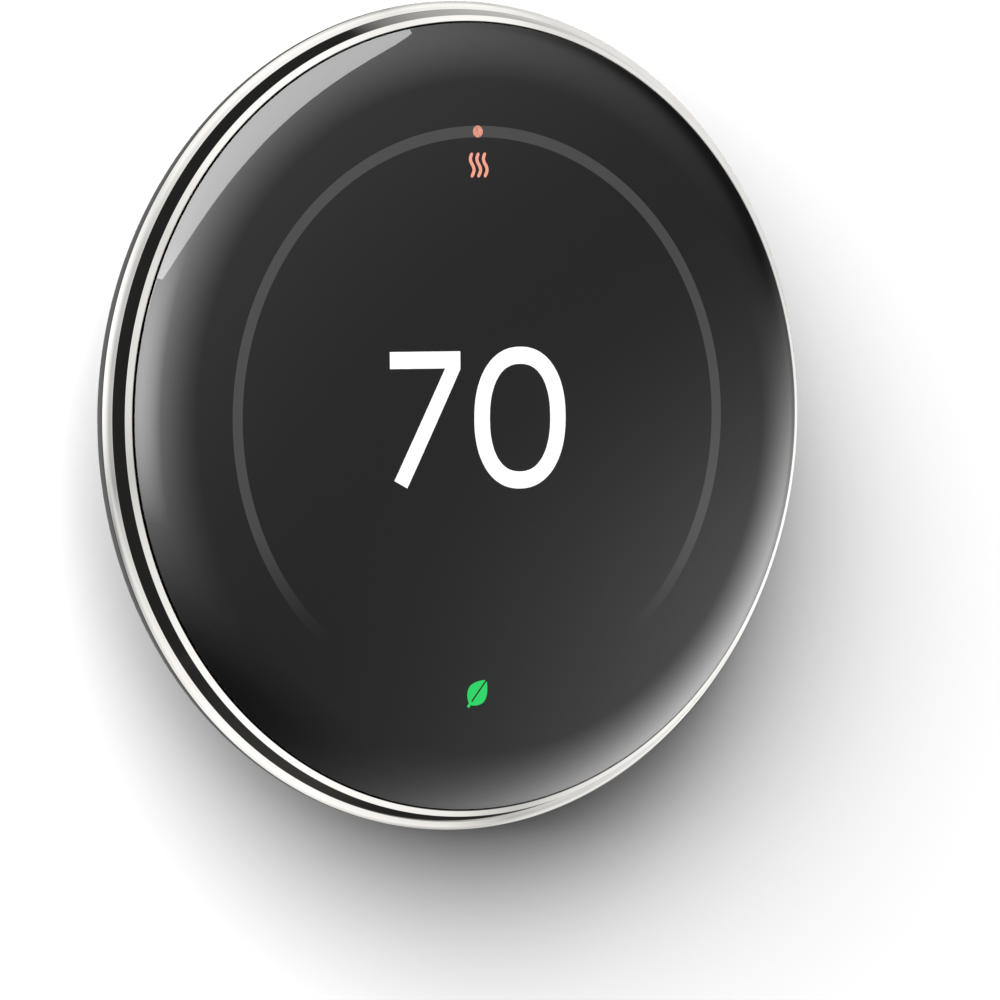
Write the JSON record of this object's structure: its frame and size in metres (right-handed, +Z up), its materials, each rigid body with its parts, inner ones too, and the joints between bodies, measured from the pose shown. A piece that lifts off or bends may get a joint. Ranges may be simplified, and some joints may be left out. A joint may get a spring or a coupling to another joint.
{
  "type": "wall thermostat",
  "caption": "Round wall thermostat with a domed dark lens, a polished turning ring and a press-to-click front that pulls off a wired base plate.",
  "frame": {"origin": "centre of the wall plane, on the ring's axis, midway between the two wall screws", "axes": "-Y out of the wall towards the room, +Y into the wall, +Z up, +X to the right as seen from the room"},
  "size_m": [0.084, 0.0273, 0.084],
  "materials": {
    "base_polymer": "fine moulded texture, pale grey",
    "terminal_polymer": "light grey moulded plastic",
    "button_polymer": "off-white moulded plastic",
    "spring_steel": "bright spring steel",
    "zinc_screw": "zinc-plated steel",
    "black_polymer": "black moulded plastic",
    "solder_mask": "dark green solder mask",
    "black_mask": "black solder mask",
    "vial_acrylic": "clear moulded acrylic",
    "level_liquid": "yellow-green level fluid",
    "cup_polymer": "soft white moulded plastic",
    "stainless": "machined stainless steel",
    "bush_polymer": "natural acetal",
    "cell_foil": "aluminium-laminate pouch",
    "foam_tape": "thin black foam tape",
    "gold_contact": "gold-plated contacts",
    "tin_can": "tinned pressed steel",
    "chip_epoxy": "moulded black epoxy",
    "speaker_can": "black sounder case",
    "carrier_polymer": "black glass-filled plastic",
    "diffuser": "white light-guide stack",
    "panel_glass": "black display glass",
    "polyimide": "amber flexible circuit",
    "gasket_tape": "black adhesive gasket",
    "lens_glass": "clear moulded lens over black",
    "ring_steel": "mirror-polished stainless steel",
    "liner_polymer": "natural acetal",
    "bonded_magnet": "bonded ferrite"
  },
  "bodies": {
    "base": {"base_plate": "base_polymer", "base_board": "solder_mask", "terminal_block_right": "terminal_polymer", "terminal_block_left": "terminal_polymer", "wire_clamps": "spring_steel", "base_socket": "black_polymer", "level_vial": "vial_acrylic", "level_fluid": "level_liquid", "latch_clips": "spring_steel", "base_screws": "zinc_screw"},
    "head": {"rear_cup": "cup_polymer", "snap_posts": "stainless", "mid_frame": "carrier_polymer", "guide_bushes": "bush_polymer", "main_board": "black_mask", "battery": "cell_foil", "battery_pad": "foam_tape", "head_plug": "black_polymer", "plug_pins": "gold_contact", "usb_shell": "stainless", "usb_tongue": "black_polymer", "click_switch": "stainless", "shield_cans": "tin_can", "board_chips": "chip_epoxy", "flex_connector": "bush_polymer", "ring_sensor": "black_mask", "climate_sensor": "solder_mask", "speaker": "speaker_can", "board_screws": "zinc_screw", "cup_screws": "zinc_screw", "return_springs": "spring_steel", "display_flex": "polyimide"},
    "plunger": {"switch_plunger": "black_polymer"},
    "front": {"carrier": "carrier_polymer", "ring_retainer": "stainless", "retainer_screws": "zinc_screw", "shoulder_screws": "zinc_screw", "backlight": "diffuser", "display_panel": "panel_glass", "sensor_strip": "polyimide", "sensor_chips": "chip_epoxy", "lens_gasket": "gasket_tape", "front_lens": "lens_glass"},
    "ring": {"outer_ring": "ring_steel", "ring_liner": "liner_polymer", "encoder_magnets": "bonded_magnet"},
    "button_01": {"terminal_button_01": "button_polymer"},
    "button_02": {"terminal_button_02": "button_polymer"},
    "button_03": {"terminal_button_03": "button_polymer"},
    "button_04": {"terminal_button_04": "button_polymer"},
    "button_05": {"terminal_button_05": "button_polymer"},
    "button_06": {"terminal_button_06": "button_polymer"},
    "button_07": {"terminal_button_07": "button_polymer"},
    "button_08": {"terminal_button_08": "button_polymer"},
    "button_09": {"terminal_button_09": "button_polymer"},
    "button_10": {"terminal_button_10": "button_polymer"},
    "button_11": {"terminal_button_11": "button_polymer"},
    "button_12": {"terminal_button_12": "button_polymer"}
  },
  "joints": [
    {"name": "head_pull", "type": "slide", "parent": "base", "child": "head", "axis": [0, -1, 0], "range_m": [0, 0.03], "deforming": ["latch_clips"]},
    {"name": "head_press", "type": "slide", "parent": "head", "child": "front", "axis": [0, 1, 0], "range_m": [0, 0.0006], "stiffness_N_per_m": 2500, "springref_m": -0.0005, "deforming": ["return_springs", "display_flex"]},
    {"name": "plunger_click", "type": "slide", "parent": "head", "child": "plunger", "axis": [0, 1, 0], "range_m": [0, 0.0006]},
    {"name": "ring_turn", "type": "hinge", "parent": "front", "child": "ring", "pos_m": [0, -0.0188, 0], "axis": [0, -1, 0], "continuous": true},
    {"name": "release_01", "type": "slide", "parent": "base", "child": "button_01", "axis": [0, 1, 0], "range_m": [0, 0.001], "stiffness_N_per_m": 1500, "springref_m": -0.0005, "deforming": ["wire_clamps"]},
    {"name": "release_02", "type": "slide", "parent": "base", "child": "button_02", "axis": [0, 1, 0], "range_m": [0, 0.001], "stiffness_N_per_m": 1500, "springref_m": -0.0005, "deforming": ["wire_clamps"]},
    {"name": "release_03", "type": "slide", "parent": "base", "child": "button_03", "axis": [0, 1, 0], "range_m": [0, 0.001], "stiffness_N_per_m": 1500, "springref_m": -0.0005, "deforming": ["wire_clamps"]},
    {"name": "release_04", "type": "slide", "parent": "base", "child": "button_04", "axis": [0, 1, 0], "range_m": [0, 0.001], "stiffness_N_per_m": 1500, "springref_m": -0.0005, "deforming": ["wire_clamps"]},
    {"name": "release_05", "type": "slide", "parent": "base", "child": "button_05", "axis": [0, 1, 0], "range_m": [0, 0.001], "stiffness_N_per_m": 1500, "springref_m": -0.0005, "deforming": ["wire_clamps"]},
    {"name": "release_06", "type": "slide", "parent": "base", "child": "button_06", "axis": [0, 1, 0], "range_m": [0, 0.001], "stiffness_N_per_m": 1500, "springref_m": -0.0005, "deforming": ["wire_clamps"]},
    {"name": "release_07", "type": "slide", "parent": "base", "child": "button_07", "axis": [0, 1, 0], "range_m": [0, 0.001], "stiffness_N_per_m": 1500, "springref_m": -0.0005, "deforming": ["wire_clamps"]},
    {"name": "release_08", "type": "slide", "parent": "base", "child": "button_08", "axis": [0, 1, 0], "range_m": [0, 0.001], "stiffness_N_per_m": 1500, "springref_m": -0.0005, "deforming": ["wire_clamps"]},
    {"name": "release_09", "type": "slide", "parent": "base", "child": "button_09", "axis": [0, 1, 0], "range_m": [0, 0.001], "stiffness_N_per_m": 1500, "springref_m": -0.0005, "deforming": ["wire_clamps"]},
    {"name": "release_10", "type": "slide", "parent": "base", "child": "button_10", "axis": [0, 1, 0], "range_m": [0, 0.001], "stiffness_N_per_m": 1500, "springref_m": -0.0005, "deforming": ["wire_clamps"]},
    {"name": "release_11", "type": "slide", "parent": "base", "child": "button_11", "axis": [0, 1, 0], "range_m": [0, 0.001], "stiffness_N_per_m": 1500, "springref_m": -0.0005, "deforming": ["wire_clamps"]},
    {"name": "release_12", "type": "slide", "parent": "base", "child": "button_12", "axis": [0, 1, 0], "range_m": [0, 0.001], "stiffness_N_per_m": 1500, "springref_m": -0.0005, "deforming": ["wire_clamps"]}
  ],
  "couplings": [
    {"joint": "plunger_click", "follows": "head_press", "ratio": 1}
  ]
}
